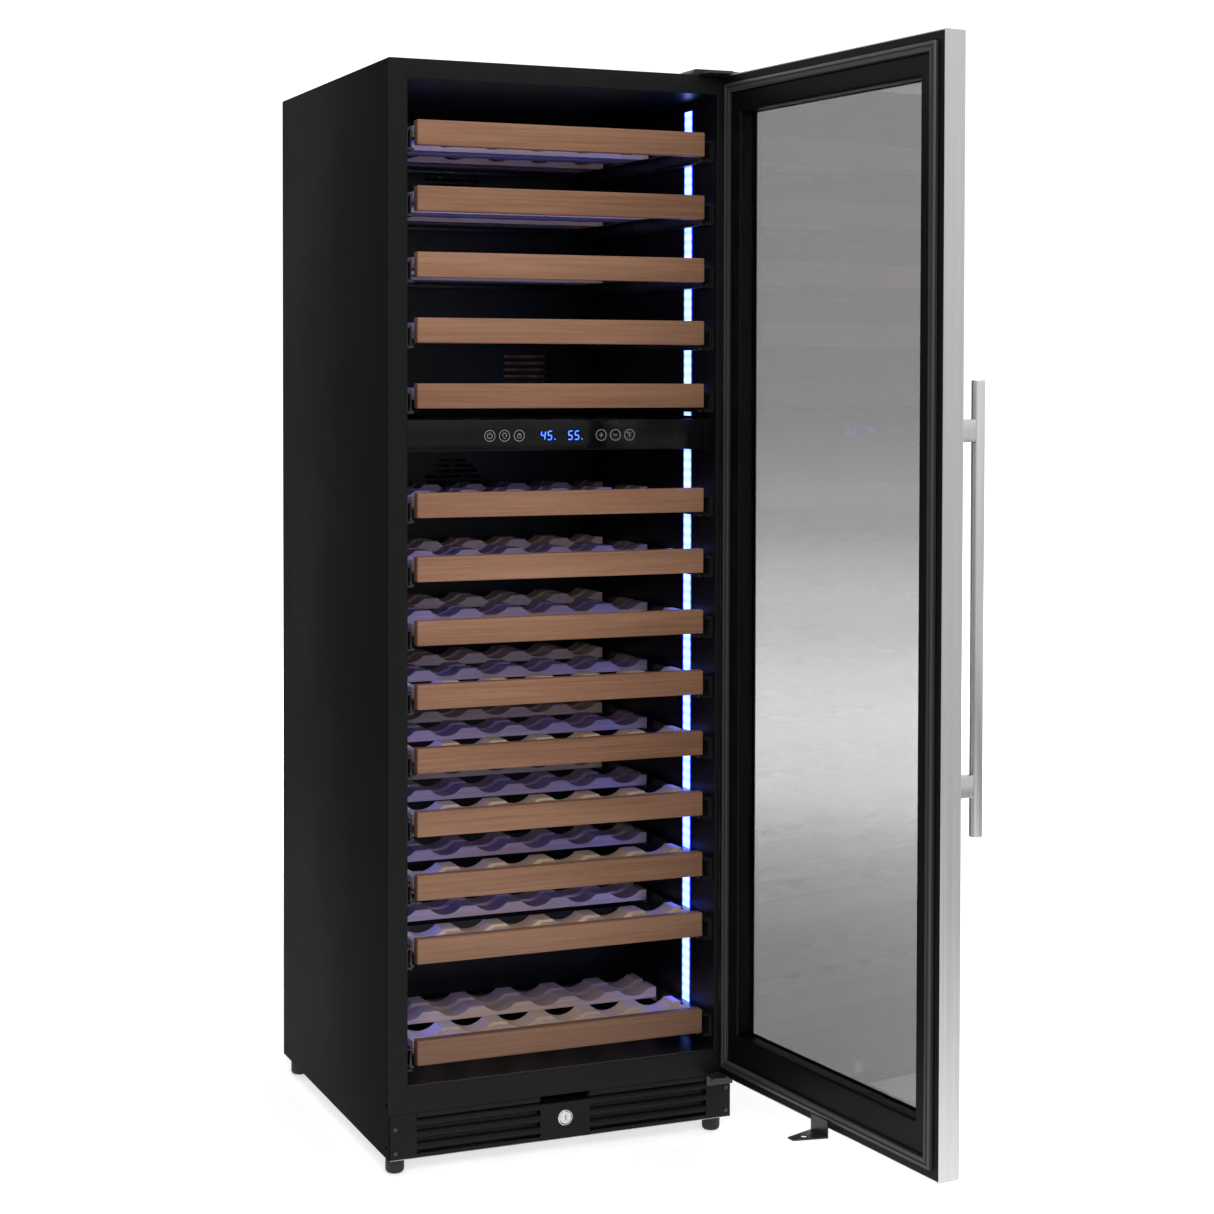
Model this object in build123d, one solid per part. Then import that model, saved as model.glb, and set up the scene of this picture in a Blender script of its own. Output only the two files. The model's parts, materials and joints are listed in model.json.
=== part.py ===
from build123d import *
import math
import os

os.makedirs("parts", exist_ok=True)

# A tall two-zone wine cooler for 24-inch cabinetry, with its glass door standing open.
# Millimetres, +Z up. The origin is on the floor under the middle of the cabinet, which
# faces -Y, and the door is hinged at +X. Left means -X, as seen from the front.

# ---- Driving dimensions ----
WIDTH = 595.0
DEPTH = 630.0  # the cabinet alone, without the door
CASE_BOTTOM = 28.0  # height of the levelling feet
CASE_TOP = 1755.0
SHEET = 1.5  # outer steel sheet
FRAME = 2.0  # front face frame sheet
STILE_WIDTH = 30.0
TOP_RAIL = 31.0
KICK_TOP = 101.0
SILL_TOP = 143.0  # top of the rail below the cavity
LINER = 2.0
CAVITY_HALF = 267.0
CAVITY_BACK = 270.0
HUMP_FRONT = 35.0  # the cavity floor steps up here, over the machine compartment
HUMP_TOP = 310.0
MACHINE_TOP = 270.0
MACHINE_FRONT = 75.0
PANEL_BOTTOM = 1142.0
PANEL_TOP = 1191.0

BOARD_HEIGHT = 39.5
BOARD_THICK = 20.0
BOARD_HALF = 248.5
BOARD_SETBACK = 8.0
UPPER_TOP = 1662.0  # top edge of the highest shelf front
UPPER_PITCH = 103.2
UPPER_COUNT = 5
LOWER_TOP = 1077.0
LOWER_PITCH = 100.7
LOWER_COUNT = 8
BOTTOM_SHELF_TOP = 211.0
SLAT_SIZE = (2 * BOARD_HALF - 3, 40.0, 18.0)
SCALLOPS = 6
SCALLOP_RADIUS = 39.0
SCALLOP_DEPTH = 12.0
LIGHT_WIDTH = 32.0
LIGHT_SETBACK = 112.0

DOOR_BOTTOM = 107.0
DOOR_TOP = 1753.0
DOOR_THICK = 38.0
DOOR_GAP = 6.0  # between the closed door's inner face and the face frame
DOOR_OPEN = 96.0  # degrees from closed to the pose modelled here
PIVOT_FROM_EDGE = 12.0
PIVOT_FROM_FACE = 16.0
PIN_RADIUS = 4.0
RUNNING_GAP = 0.05
WINDOW_INSET = {"side": 57.0, "top": 63.0, "bottom": 77.0}
LIP = 15.0  # how far the liner laps over the edge of the glass
LIP_DEPTH = 22.0
GASKET_INSET = 15.0
GASKET_WIDTH = 15.0
HANDLE_RADIUS = 10.0
HANDLE_REACH = 50.0
HANDLE_INSET = 32.0
HANDLE_SPAN = (592.0, 1256.0)
POST_HEIGHTS = (667.0, 1183.0)

LOCK_HEIGHT = 63.0
LOCK_HALF = 43.0
LOCK_BARREL_RADIUS = 10.4
SLOT_BOTTOM = 88.0
SLOT_DEPTH = 60.0
BOLT_RADIUS = 5.0
BOLT_SETBACK = 24.0

FRONT = -DEPTH / 2
BACK = DEPTH / 2
HALF = WIDTH / 2
BEHIND_FRAME = FRONT + FRAME
INSIDE_BACK = BACK - SHEET
BOARD_FRONT = FRONT + BOARD_SETBACK
DECK_FRONT = BOARD_FRONT + BOARD_THICK
DOOR_INNER = FRONT - DOOR_GAP
DOOR_OUTER = DOOR_INNER - DOOR_THICK
PIVOT = (HALF - PIVOT_FROM_EDGE, DOOR_INNER - PIVOT_FROM_FACE)
BOLT_Y = FRONT + BOLT_SETBACK


# ---- Helpers ----
def block(x, y, z):
    """A box between pairs of coordinates."""
    spans = [sorted(pair) for pair in (x, y, z)]
    centre = [sum(pair) / 2 for pair in spans]
    return Pos(*centre) * Box(*[high - low for low, high in spans])


def rod(radius, start, length, axis="z"):
    """A round bar that runs from start along the positive axis."""
    turn = {"x": Rot(0, 90, 0), "y": Rot(-90, 0, 0), "z": Rot(0, 0, 0)}[axis]
    bar = Cylinder(radius, length, align=(Align.CENTER, Align.CENTER, Align.MIN))
    return Pos(*start) * turn * bar


def both_sides(pieces):
    """The pieces and their mirror images across the middle of the cabinet."""
    return [*pieces, *[piece.mirror(Plane.YZ) for piece in pieces]]


def save(name, pieces):
    solids = [solid for piece in pieces for solid in piece.solids()]
    export_step(Compound(solids), f"parts/{name}.step")


def pipe(radius, points, bend):
    """A tube outline along straight runs with round bends."""
    path = FilletPolyline(*points, radius=bend)
    section = Plane(origin=path @ 0, z_dir=path % 0) * Circle(radius)
    return sweep(section, path=path)


def ring(x_half, z, widths, y):
    """Four butted bars round a rectangle: two full-height stiles and two rails between them."""
    side, top, bottom = widths
    stile = block((x_half - side, x_half), y, z)
    upper = block((side - x_half, x_half - side), y, (z[1] - top, z[1]))
    lower = block((side - x_half, x_half - side), y, (z[0], z[0] + bottom))
    return [*both_sides([stile]), upper, lower]


# ---- Case: outer sheets, back, base and face frame ----
side_screws = [rod(3.2, (HALF - SHEET, y, z), SHEET, "x") for y, z in ((-300, 46), (-300, 112), (300, 46))]
side_sheet = block((HALF - SHEET, HALF), (BEHIND_FRAME, BACK), (CASE_BOTTOM, CASE_TOP - SHEET))
for side_screw in side_screws:
    side_sheet -= side_screw
save("outer_case", [*both_sides([side_sheet]), block((-HALF, HALF), (BEHIND_FRAME, BACK), (CASE_TOP - SHEET, CASE_TOP))])

INSIDE_HALF = HALF - SHEET
save(
    "back_panel",
    [block((-INSIDE_HALF, INSIDE_HALF), (INSIDE_BACK, BACK), (MACHINE_TOP, CASE_TOP - SHEET))],
)

INLET_X = -205.0
INLET_Z = 70.0
INLET_SIZE = (48.0, 28.0)
BASE_TOP = CASE_BOTTOM + SHEET
service_cover = block((-INSIDE_HALF, INSIDE_HALF), (INSIDE_BACK, BACK), (BASE_TOP, MACHINE_TOP))
for column in range(-1, 3):
    for row in range(9):
        middle = column * 110 - 15
        slot_z = 90 + row * 18
        service_cover -= block((middle - 42, middle + 42), (INSIDE_BACK - 1, BACK + 1), (slot_z, slot_z + 6))
service_cover -= block(
    (INLET_X - INLET_SIZE[0] / 2, INLET_X + INLET_SIZE[0] / 2),
    (INSIDE_BACK - 1, BACK + 1),
    (INLET_Z - INLET_SIZE[1] / 2, INLET_Z + INLET_SIZE[1] / 2),
)
save("rear_service_cover", [service_cover])

FAN_X = -62.0
FAN_Y = 195.0
FAN_Z = 140.0
save(
    "base_pan",
    [
        block((-INSIDE_HALF, INSIDE_HALF), (BEHIND_FRAME, INSIDE_BACK), (CASE_BOTTOM, BASE_TOP)),
        block((FAN_X + 20, FAN_X + 35), (FAN_Y - 12, FAN_Y + 12), (BASE_TOP, FAN_Z - 20)),
        rod(20, (FAN_X + 9, FAN_Y, FAN_Z), 36, "x"),
    ],
)

frame_widths = (STILE_WIDTH, TOP_RAIL, SILL_TOP - KICK_TOP)
save("face_frame", ring(HALF, (KICK_TOP, CASE_TOP), frame_widths, (FRONT, BEHIND_FRAME)))

# ---- Foam and inner liner, with a chase in the rear foam for the refrigerant pipes ----
LINER_HALF = CAVITY_HALF + LINER
LINER_BACK = CAVITY_BACK + LINER
LINER_TOP = CASE_TOP - TOP_RAIL + LINER
CHASE = (-10.0, 34.0)
PLINTH_CEILING = KICK_TOP + 2
save(
    "insulation_foam",
    [
        *both_sides([block((LINER_HALF, INSIDE_HALF), (BEHIND_FRAME, INSIDE_BACK),
                           (PLINTH_CEILING, CASE_TOP - SHEET))]),
        block((-LINER_HALF, LINER_HALF), (BEHIND_FRAME, INSIDE_BACK), (LINER_TOP, CASE_TOP - SHEET)),
        block((-LINER_HALF, CHASE[0]), (LINER_BACK, INSIDE_BACK), (MACHINE_TOP, LINER_TOP)),
        block((CHASE[1], LINER_HALF), (LINER_BACK, INSIDE_BACK), (MACHINE_TOP, LINER_TOP)),
        block((-LINER_HALF, LINER_HALF), (HUMP_FRONT + LINER, LINER_BACK),
              (MACHINE_TOP, HUMP_TOP - LINER)),
        block((-LINER_HALF, LINER_HALF), (HUMP_FRONT + LINER, MACHINE_FRONT), (SILL_TOP, MACHINE_TOP)),
        block((-LINER_HALF, LINER_HALF), (BEHIND_FRAME, MACHINE_FRONT), (PLINTH_CEILING, SILL_TOP)),
    ],
)

LIGHT_Y = (FRONT + LIGHT_SETBACK - LIGHT_WIDTH / 2, FRONT + LIGHT_SETBACK + LIGHT_WIDTH / 2)
LIGHT_SPANS = [(160.0, PANEL_BOTTOM - 4), (PANEL_TOP + 4, 1708.0)]
WALL_X = (CAVITY_HALF, LINER_HALF)
wall = [
    block(WALL_X, (BEHIND_FRAME, LIGHT_Y[0]), (SILL_TOP, LINER_TOP)),
    block(WALL_X, (LIGHT_Y[1], HUMP_FRONT + LINER), (SILL_TOP, LINER_TOP)),
    block(WALL_X, (HUMP_FRONT + LINER, LINER_BACK), (HUMP_TOP - LINER, LINER_TOP)),
    block(WALL_X, LIGHT_Y, (SILL_TOP, LIGHT_SPANS[0][0])),
    block(WALL_X, LIGHT_Y, (LIGHT_SPANS[0][1], LIGHT_SPANS[1][0])),
    block(WALL_X, LIGHT_Y, (LIGHT_SPANS[1][1], LINER_TOP)),
]
INSIDE_X = (-CAVITY_HALF, CAVITY_HALF)
PIPE_Y = 292.0
PIPE_EXITS = {"upper": (0.0, 1400.0), "lower": (22.0, 700.0)}  # x and height
liner_back = block(INSIDE_X, (CAVITY_BACK, LINER_BACK), (HUMP_TOP, LINER_TOP - LINER))
for exit_x, exit_z in PIPE_EXITS.values():
    liner_back -= rod(7, (exit_x, CAVITY_BACK - 1, exit_z), 2 * LINER, "y")
save(
    "inner_liner",
    [
        *both_sides(wall),
        liner_back,
        block(INSIDE_X, (BEHIND_FRAME, LINER_BACK), (LINER_TOP - LINER, LINER_TOP)),
        block(INSIDE_X, (BEHIND_FRAME, HUMP_FRONT), (SILL_TOP, SILL_TOP + LINER)),
        block(INSIDE_X, (HUMP_FRONT, HUMP_FRONT + LINER), (SILL_TOP, HUMP_TOP - LINER)),
        block(INSIDE_X, (HUMP_FRONT, LINER_BACK), (HUMP_TOP - LINER, HUMP_TOP)),
    ],
)
save("light_bars", both_sides([block(WALL_X, LIGHT_Y, span) for span in LIGHT_SPANS]))

# ---- Divider between the zones, and the touch panel on its front ----
PANEL_THICK = 12.0
save("zone_divider", [block(INSIDE_X, (BOARD_FRONT + PANEL_THICK, CAVITY_BACK), (PANEL_BOTTOM + 2, PANEL_TOP - 2))])
save("control_panel", [block(INSIDE_X, (BOARD_FRONT, BOARD_FRONT + PANEL_THICK), (PANEL_BOTTOM, PANEL_TOP))])

# ---- Air ducts and their fans at the back of each zone ----
DUCT_HALF = 232.0
DUCT_FRONT = 238.0
DUCT_SKIN = 2.0
DUCTS = {"upper": (PANEL_TOP + 4, 1718.0), "lower": (HUMP_TOP + 4, PANEL_BOTTOM - 4)}
DUCT_FAN_DROP = 80.0
MOTOR_DEPTH = 5.5
duct_pieces = []
for low, high in DUCTS.values():
    fan_z = high - DUCT_FAN_DROP
    front = block((-DUCT_HALF, DUCT_HALF), (DUCT_FRONT, DUCT_FRONT + DUCT_SKIN), (low, high))
    for row in range(-5, 6):
        chord = math.sqrt(56**2 - (row * 10) ** 2)
        if row == 0:
            continue
        front -= block((-chord, chord), (DUCT_FRONT - 1, DUCT_FRONT + 3), (fan_z + row * 10 - 3, fan_z + row * 10 + 3))
    for side in (-1, 1):
        for row in range(6):
            vent_z = low + 40 + row * 12
            front -= block((side * 150 - 50, side * 150 + 50), (DUCT_FRONT - 1, DUCT_FRONT + 3), (vent_z, vent_z + 5))
    behind = (DUCT_FRONT + DUCT_SKIN, CAVITY_BACK)
    duct_pieces += [
        front,
        *both_sides([block((DUCT_HALF - DUCT_SKIN, DUCT_HALF), behind, (low, high))]),
        block((DUCT_SKIN - DUCT_HALF, DUCT_HALF - DUCT_SKIN), behind, (high - DUCT_SKIN, high)),
        block((DUCT_SKIN - DUCT_HALF, DUCT_HALF - DUCT_SKIN), behind, (low, low + DUCT_SKIN)),
        rod(16, (0, DUCT_FRONT + DUCT_SKIN, fan_z), MOTOR_DEPTH, "y"),
    ]
save("air_duct_covers", duct_pieces)


def fan_rotor(hub_radius, tip_radius, thickness, blades):
    """A rotor on the Z axis: a hub with flat pitched blades let into it."""
    rotor = Cylinder(hub_radius, thickness)
    blade = block((hub_radius - 3, tip_radius), (-1, 1), (-thickness * 0.55, thickness * 0.55))
    for index in range(blades):
        rotor += Rot(0, 0, index * 360 / blades) * Rot(50, 0, 0) * blade
    return rotor


for zone, (low, high) in DUCTS.items():
    fan_y = DUCT_FRONT + DUCT_SKIN + MOTOR_DEPTH + 8
    rotor = fan_rotor(18, 52, 12, 7)
    save(f"{zone}_fan", [Pos(0, fan_y, high - DUCT_FAN_DROP) * Rot(-90, 0, 0) * rotor])
save("condenser_fan", [Pos(FAN_X, FAN_Y, FAN_Z) * Rot(0, 90, 0) * fan_rotor(22, 72, 16, 5)])

# ---- Sealed refrigeration circuit: evaporator plates, condenser and pipes ----
COMPRESSOR_X = 150.0
COMPRESSOR_TOP = 205.0
PORT_OFFSET = 22.0
PIPE_RADIUS = 4.0
CONDENSER_X = (-262.0, -96.0)
CONDENSER_Z = (60.0, 230.0)
EVAPORATOR_Y = (262.0, 264.0)
EVAPORATORS = {"upper": (1250.0, 1560.0), "lower": (420.0, 940.0)}
circuit = [block((-190, 190), EVAPORATOR_Y, span) for span in EVAPORATORS.values()]
port_height = COMPRESSOR_TOP + 10
for side, (exit_x, exit_z) in zip((-1, 1), PIPE_EXITS.values()):
    port_x = COMPRESSOR_X + side * PORT_OFFSET
    bridge_z = port_height + 25 + side * 7
    circuit.append(
        pipe(
            PIPE_RADIUS,
            [
                (exit_x, EVAPORATOR_Y[1], exit_z),
                (exit_x, PIPE_Y, exit_z),
                (exit_x, PIPE_Y, bridge_z),
                (port_x, PIPE_Y, bridge_z),
                (port_x, FAN_Y, bridge_z),
                (port_x, FAN_Y, port_height),
            ],
            9,
        )
    )
CONDENSER_RUNS = 7
run_pitch = (CONDENSER_Z[1] - CONDENSER_Z[0]) / (CONDENSER_RUNS - 1)
WIRE_RADIUS = 0.8
for layer_y in (150.0, 235.0):
    route = []
    for run in range(CONDENSER_RUNS):
        ends = CONDENSER_X if run % 2 == 0 else CONDENSER_X[::-1]
        route += [(end, layer_y, CONDENSER_Z[0] + run * run_pitch) for end in ends]
    circuit.append(pipe(PIPE_RADIUS, route, run_pitch / 2 - 0.5))
    for index in range(14):
        wire_x = CONDENSER_X[0] + 18 + index * 10
        wire_y = layer_y + PIPE_RADIUS + WIRE_RADIUS
        circuit.append(rod(WIRE_RADIUS, (wire_x, wire_y, CONDENSER_Z[0] - 6), CONDENSER_Z[1] - CONDENSER_Z[0] + 12))
save("refrigerant_circuit", circuit)

shell = fillet(Cylinder(62, COMPRESSOR_TOP - 48).edges(), 26)
shell = Pos(COMPRESSOR_X, FAN_Y, (COMPRESSOR_TOP + 48) / 2) * shell
for side in (-1, 1):
    shell += rod(6, (COMPRESSOR_X + side * PORT_OFFSET, FAN_Y, COMPRESSOR_TOP - 25), 35)
shell += block((COMPRESSOR_X - 82, COMPRESSOR_X - 45), (FAN_Y - 30, FAN_Y + 30), (110, 165))
foot_plate = block((COMPRESSOR_X - 95, COMPRESSOR_X + 95), (FAN_Y - 55, FAN_Y + 55), (45, 48))
grommets = [
    rod(11, (COMPRESSOR_X + x * 80, FAN_Y + y * 40, BASE_TOP), 45 - BASE_TOP) for x in (-1, 1) for y in (-1, 1)
]
save("compressor", [shell, foot_plate, *grommets])

inlet_x = (INLET_X - INLET_SIZE[0] / 2 + 0.5, INLET_X + INLET_SIZE[0] / 2 - 0.5)
inlet_z = (INLET_Z - INLET_SIZE[1] / 2 + 0.5, INLET_Z + INLET_SIZE[1] / 2 - 0.5)
inlet = block(inlet_x, (BACK - 24, BACK), inlet_z)
inlet -= block((inlet_x[0] + 8, inlet_x[1] - 8), (BACK - 17, BACK + 1), (inlet_z[0] + 4, inlet_z[1] - 4))
contacts = [
    block((INLET_X + x - 2, INLET_X + x + 2), (BACK - 17, BACK - 4), (INLET_Z + z - 1, INLET_Z + z + 1))
    for x, z in ((-7, -3), (0, 3), (7, -3))
]
save("power_inlet", [inlet, *contacts])

# ---- Plinth: louvred kick panel, lock plate with its bolt guide, and the slot for the striker ----
LOUVRE_OUTER = 252.0
KICK_THICK = 3.0
kick_y = (FRONT, FRONT + KICK_THICK)
RIB_HEIGHT = 13.0
louvre_x = (LOCK_HALF, LOUVRE_OUTER)
kick = [
    block((LOUVRE_OUTER, INSIDE_HALF), kick_y, (BASE_TOP, KICK_TOP)),
    block(louvre_x, kick_y, (93, KICK_TOP)),
    block(louvre_x, kick_y, (BASE_TOP, 36)),
]
for centre_z in (45.5, 64.5, 83.5):
    rib = block(louvre_x, (FRONT, FRONT + 7), (centre_z - RIB_HEIGHT / 2, centre_z + RIB_HEIGHT / 2))
    kick.append(chamfer(rib.edges().filter_by(Axis.X).group_by(Axis.Y)[0], 2.5))
save("kick_grille", both_sides(kick))

lock_x = (-LOCK_HALF, LOCK_HALF)
slot_back = FRONT + SLOT_DEPTH
face_plate = block(lock_x, kick_y, (BASE_TOP, SLOT_BOTTOM - 2))
face_plate -= rod(LOCK_BARREL_RADIUS + RUNNING_GAP, (0, FRONT - 1, LOCK_HEIGHT), 6, "y")
slot_floor = block(lock_x, (FRONT, slot_back), (SLOT_BOTTOM - 2, SLOT_BOTTOM))
slot_floor += block((-14, 14), (BOLT_Y - 12, BOLT_Y + 12), (SLOT_BOTTOM - 13, SLOT_BOTTOM - 2))
slot_floor -= rod(BOLT_RADIUS + RUNNING_GAP, (0, BOLT_Y, SLOT_BOTTOM - 20), 30)
save(
    "lock_housing",
    [
        face_plate,
        slot_floor,
        block(lock_x, (slot_back - 2, slot_back), (SLOT_BOTTOM, KICK_TOP)),
        block((-LOCK_HALF - 2, LOCK_HALF + 2), (BEHIND_FRAME, slot_back), (KICK_TOP, PLINTH_CEILING)),
        *both_sides([block((LOCK_HALF, LOCK_HALF + 2), (kick_y[1] + 4.5, slot_back), (SLOT_BOTTOM - 2, KICK_TOP))]),
    ],
)

barrel = rod(LOCK_BARREL_RADIUS, (0, FRONT - 2, LOCK_HEIGHT), 17, "y")
barrel = chamfer(barrel.edges().group_by(Axis.Y)[0], 1)
barrel -= block((-0.9, 0.9), (FRONT - 3, FRONT + 2), (LOCK_HEIGHT - 4, LOCK_HEIGHT + 4))
barrel += rod(7, (0, FRONT + 15, LOCK_HEIGHT), 2.5, "y")
save("lock_barrel", [barrel])
BOLT_BOTTOM = 67.0
bolt = rod(BOLT_RADIUS, (0, BOLT_Y, BOLT_BOTTOM), SLOT_BOTTOM - BOLT_BOTTOM)
save("lock_bolt", [chamfer(bolt.edges().group_by(Axis.Z)[-1], 0.8)])

# ---- Levelling feet ----
FOOT_RADIUS = 15.0
FOOT_X = 277.5
FOOT_INSET = 35.0
foot = fillet(Cylinder(FOOT_RADIUS, 24, align=(Align.CENTER, Align.CENTER, Align.MIN)).edges().group_by(Axis.Z)[0], 4)
foot += rod(9, (0, 0, 24), CASE_BOTTOM - 24)
save(
    "levelling_feet",
    [Pos(x, y, 0) * foot for x in (-FOOT_X, FOOT_X) for y in (FRONT + FOOT_INSET, BACK - FOOT_INSET)],
)

# ---- Hinges ----
HINGE_PLATE = 3.0
PIN_LENGTH = 14.0
pivot_x, pivot_y = PIVOT
top_bracket = block((235, 295), (pivot_y - 11, -270), (CASE_TOP, CASE_TOP + HINGE_PLATE))
top_bracket = fillet(top_bracket.edges().filter_by(Axis.Z).group_by(Axis.Y)[0], 9)
top_bracket += rod(PIN_RADIUS, (pivot_x, pivot_y, CASE_TOP - PIN_LENGTH), PIN_LENGTH)
plate_z = DOOR_BOTTOM - 2 - HINGE_PLATE
bottom_bracket = block((252, HALF + 2), (pivot_y - 11, FRONT - HINGE_PLATE), (plate_z, plate_z + HINGE_PLATE))
bottom_bracket = fillet(bottom_bracket.edges().filter_by(Axis.Z).group_by(Axis.Y)[0], 9)
bottom_bracket += block((252, HALF + 2), (FRONT - HINGE_PLATE, FRONT), (plate_z - 17, plate_z + HINGE_PLATE))
bottom_bracket += rod(PIN_RADIUS, (pivot_x, pivot_y, plate_z + HINGE_PLATE), PIN_LENGTH)
save("hinge_brackets", [top_bracket, bottom_bracket])

COVER_TOP = CASE_TOP + 9.5
cover = block((222, 297), (-313, -258), (CASE_TOP, COVER_TOP))
cover = chamfer(cover.edges().filter_by(Axis.Y).group_by(Axis.Z)[-1].group_by(Axis.X)[0], 6)
cover -= block((234.5, 298), (-314, -269.5), (CASE_TOP - 1, CASE_TOP + HINGE_PLATE))
save("top_hinge_cover", [cover])

screws = [
    *both_sides([rod(3.2, (288, FRONT - 1.4, z), 1.4, "y") for z in (40, 78)]),
    *both_sides(side_screws),
    *both_sides([rod(3.2, (285, BACK, z), 1.4, "y") for z in (50, 250, 600, 1000, 1400, 1730)]),
    *[rod(3.5, (x, FRONT - HINGE_PLATE - 1.6, 93), 1.6, "y") for x in (264, 274)],
]
save("screws", screws)

# ---- Shelves on three-part slides ----
upper_tops = [UPPER_TOP - i * UPPER_PITCH for i in range(UPPER_COUNT)]
lower_tops = [LOWER_TOP - i * LOWER_PITCH for i in range(LOWER_COUNT)]
shelf_tops = [*upper_tops, *lower_tops, BOTTOM_SHELF_TOP]
FULL_DECK = {
    "slats": (-262.0, -205.0, -62.0, -5.0, 138.0, 195.0),
    "back": 218.0,
    "outer": (-300.0, 200.0),
    "middle": (-300.0, 170.0),
    "inner": (-298.0, 192.0),
}
SHORT_DECK = {
    "slats": (-262.0, -205.0, -104.0, -47.0),
    "back": 13.0,
    "outer": (-300.0, 10.0),
    "inner": (-298.0, 5.0),
}
STEEL = 1.5
DECK_LOW = 14.0  # underside of the slats above the board's lower edge
# each slide member: x of its web, how far its flanges reach in from the web, and its lower
# and upper edges, measured from the lower edge of the shelf front
OUTER_MEMBER = (265.5, -11.0, -8.0, 27.0)
MIDDLE_MEMBER = (262.0, -6.5, -5.9, 24.9)
INNER_MEMBER = (253.0, 8.4, -3.8, 22.8)


def channel(member, y, base_z):
    """A slide member on both sides: a web with a flange at each edge, as separate convex bars."""
    web_x, reach, low, high = member
    web = (web_x, web_x + STEEL)
    flange = (web[0] + reach, web[0]) if reach < 0 else (web[1], web[0] + reach)
    return both_sides(
        [
            block(web, y, (base_z + low, base_z + high)),
            block(flange, y, (base_z + low, base_z + low + STEEL)),
            block(flange, y, (base_z + high - STEEL, base_z + high)),
        ]
    )


def slat():
    """A beech slat centred on X and Y, standing on Z = 0, with a hollow for each bottle."""
    length, depth, height = SLAT_SIZE
    bar = Box(length, depth, height, align=(Align.CENTER, Align.CENTER, Align.MIN))
    pitch = length / SCALLOPS
    for index in range(SCALLOPS):
        x = (index - (SCALLOPS - 1) / 2) * pitch
        bar -= rod(SCALLOP_RADIUS, (x, -depth, height - SCALLOP_DEPTH + SCALLOP_RADIUS), 2 * depth, "y")
    return bar


def shelf(top, deck):
    base_z = top - BOARD_HEIGHT
    board = block((-BOARD_HALF, BOARD_HALF), (BOARD_FRONT, DECK_FRONT), (base_z, top))
    board = fillet(board.edges().filter_by(Axis.X).group_by(Axis.Y)[0], 2)
    rail = block((INNER_MEMBER[0] - STEEL, INNER_MEMBER[0]), (DECK_FRONT, deck["back"]), (base_z - 3.8, base_z + DECK_LOW))
    ledge = block((236, INNER_MEMBER[0] - STEEL), (DECK_FRONT, deck["back"]),
                  (base_z + DECK_LOW - STEEL, base_z + DECK_LOW))
    cross_bar = block((-236, 236), (deck["back"] - 6, deck["back"]), (base_z + 4, base_z + DECK_LOW))
    slats = [Pos(0, y, base_z + DECK_LOW) * one_slat for y in deck["slats"]]
    return [board, *both_sides([rail, ledge]), cross_bar, *slats, *channel(INNER_MEMBER, deck["inner"], base_z)]


one_slat = slat()
channels = []
for number, top in enumerate(shelf_tops, 1):
    deck = SHORT_DECK if number == len(shelf_tops) else FULL_DECK
    save(f"shelf_{number:02d}", shelf(top, deck))
    base_z = top - BOARD_HEIGHT
    channels += channel(OUTER_MEMBER, deck["outer"], base_z)
    if "middle" in deck:
        save(f"runner_{number:02d}", channel(MIDDLE_MEMBER, deck["middle"], base_z))
save("runner_channels", channels)

# ---- Door, built closed and then swung open about its pivot ----
swing = Pos(pivot_x, pivot_y, 0) * Rot(0, 0, DOOR_OPEN) * Pos(-pivot_x, -pivot_y, 0)


def save_on_door(name, pieces):
    save(name, [swing * piece for piece in pieces])


door_z = (DOOR_BOTTOM, DOOR_TOP)
SKIN = 1.5
window_widths = (WINDOW_INSET["side"], WINDOW_INSET["top"], WINDOW_INSET["bottom"])
glass_widths = tuple(width - LIP for width in window_widths)
skin_y = (DOOR_OUTER, DOOR_OUTER + SKIN)
edge_y = (skin_y[1], DOOR_INNER - 1)
edges = []
for piece in ring(HALF, door_z, (SKIN, SKIN, SKIN), edge_y):
    edges.append(piece - rod(5, (pivot_x, pivot_y, DOOR_BOTTOM - 5), DOOR_TOP - DOOR_BOTTOM + 10))
save_on_door("door_frame", [*ring(HALF, door_z, window_widths, skin_y), *edges])

inner_z = (DOOR_BOTTOM + SKIN, DOOR_TOP - SKIN)
core_widths = tuple(width - SKIN for width in glass_widths)
core = []
for piece in ring(HALF - SKIN, inner_z, core_widths, (skin_y[1], DOOR_INNER)):
    for bore_z in (DOOR_BOTTOM - 5, DOOR_TOP - PIN_LENGTH - 3):
        piece -= rod(PIN_RADIUS + RUNNING_GAP, (pivot_x, pivot_y, bore_z), PIN_LENGTH + 8)
    core.append(piece)
INNER_PANE_BACK = DOOR_INNER - LIP_DEPTH
PANE = 4.0
glass_z = (DOOR_BOTTOM + glass_widths[2], DOOR_TOP - glass_widths[1])
glass_half = HALF - glass_widths[0]
lips = ring(glass_half, glass_z, (LIP, LIP, LIP), (INNER_PANE_BACK, DOOR_INNER))
spacer_y = (skin_y[1] + PANE, INNER_PANE_BACK - PANE)
spacers = ring(glass_half, glass_z, (10, 10, 10), spacer_y)
save_on_door("door_liner", [*core, *lips, *spacers])
save_on_door(
    "double_glazing",
    [
        block((-glass_half, glass_half), (skin_y[1], spacer_y[0]), glass_z),
        block((-glass_half, glass_half), (spacer_y[1], INNER_PANE_BACK), glass_z),
    ],
)
gasket_z = (DOOR_BOTTOM + GASKET_INSET, DOOR_TOP - GASKET_INSET)
gasket_widths = (GASKET_WIDTH, GASKET_WIDTH, GASKET_WIDTH)
save_on_door("door_gasket", ring(HALF - GASKET_INSET, gasket_z, gasket_widths, (DOOR_INNER, FRONT - 0.3)))

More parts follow.
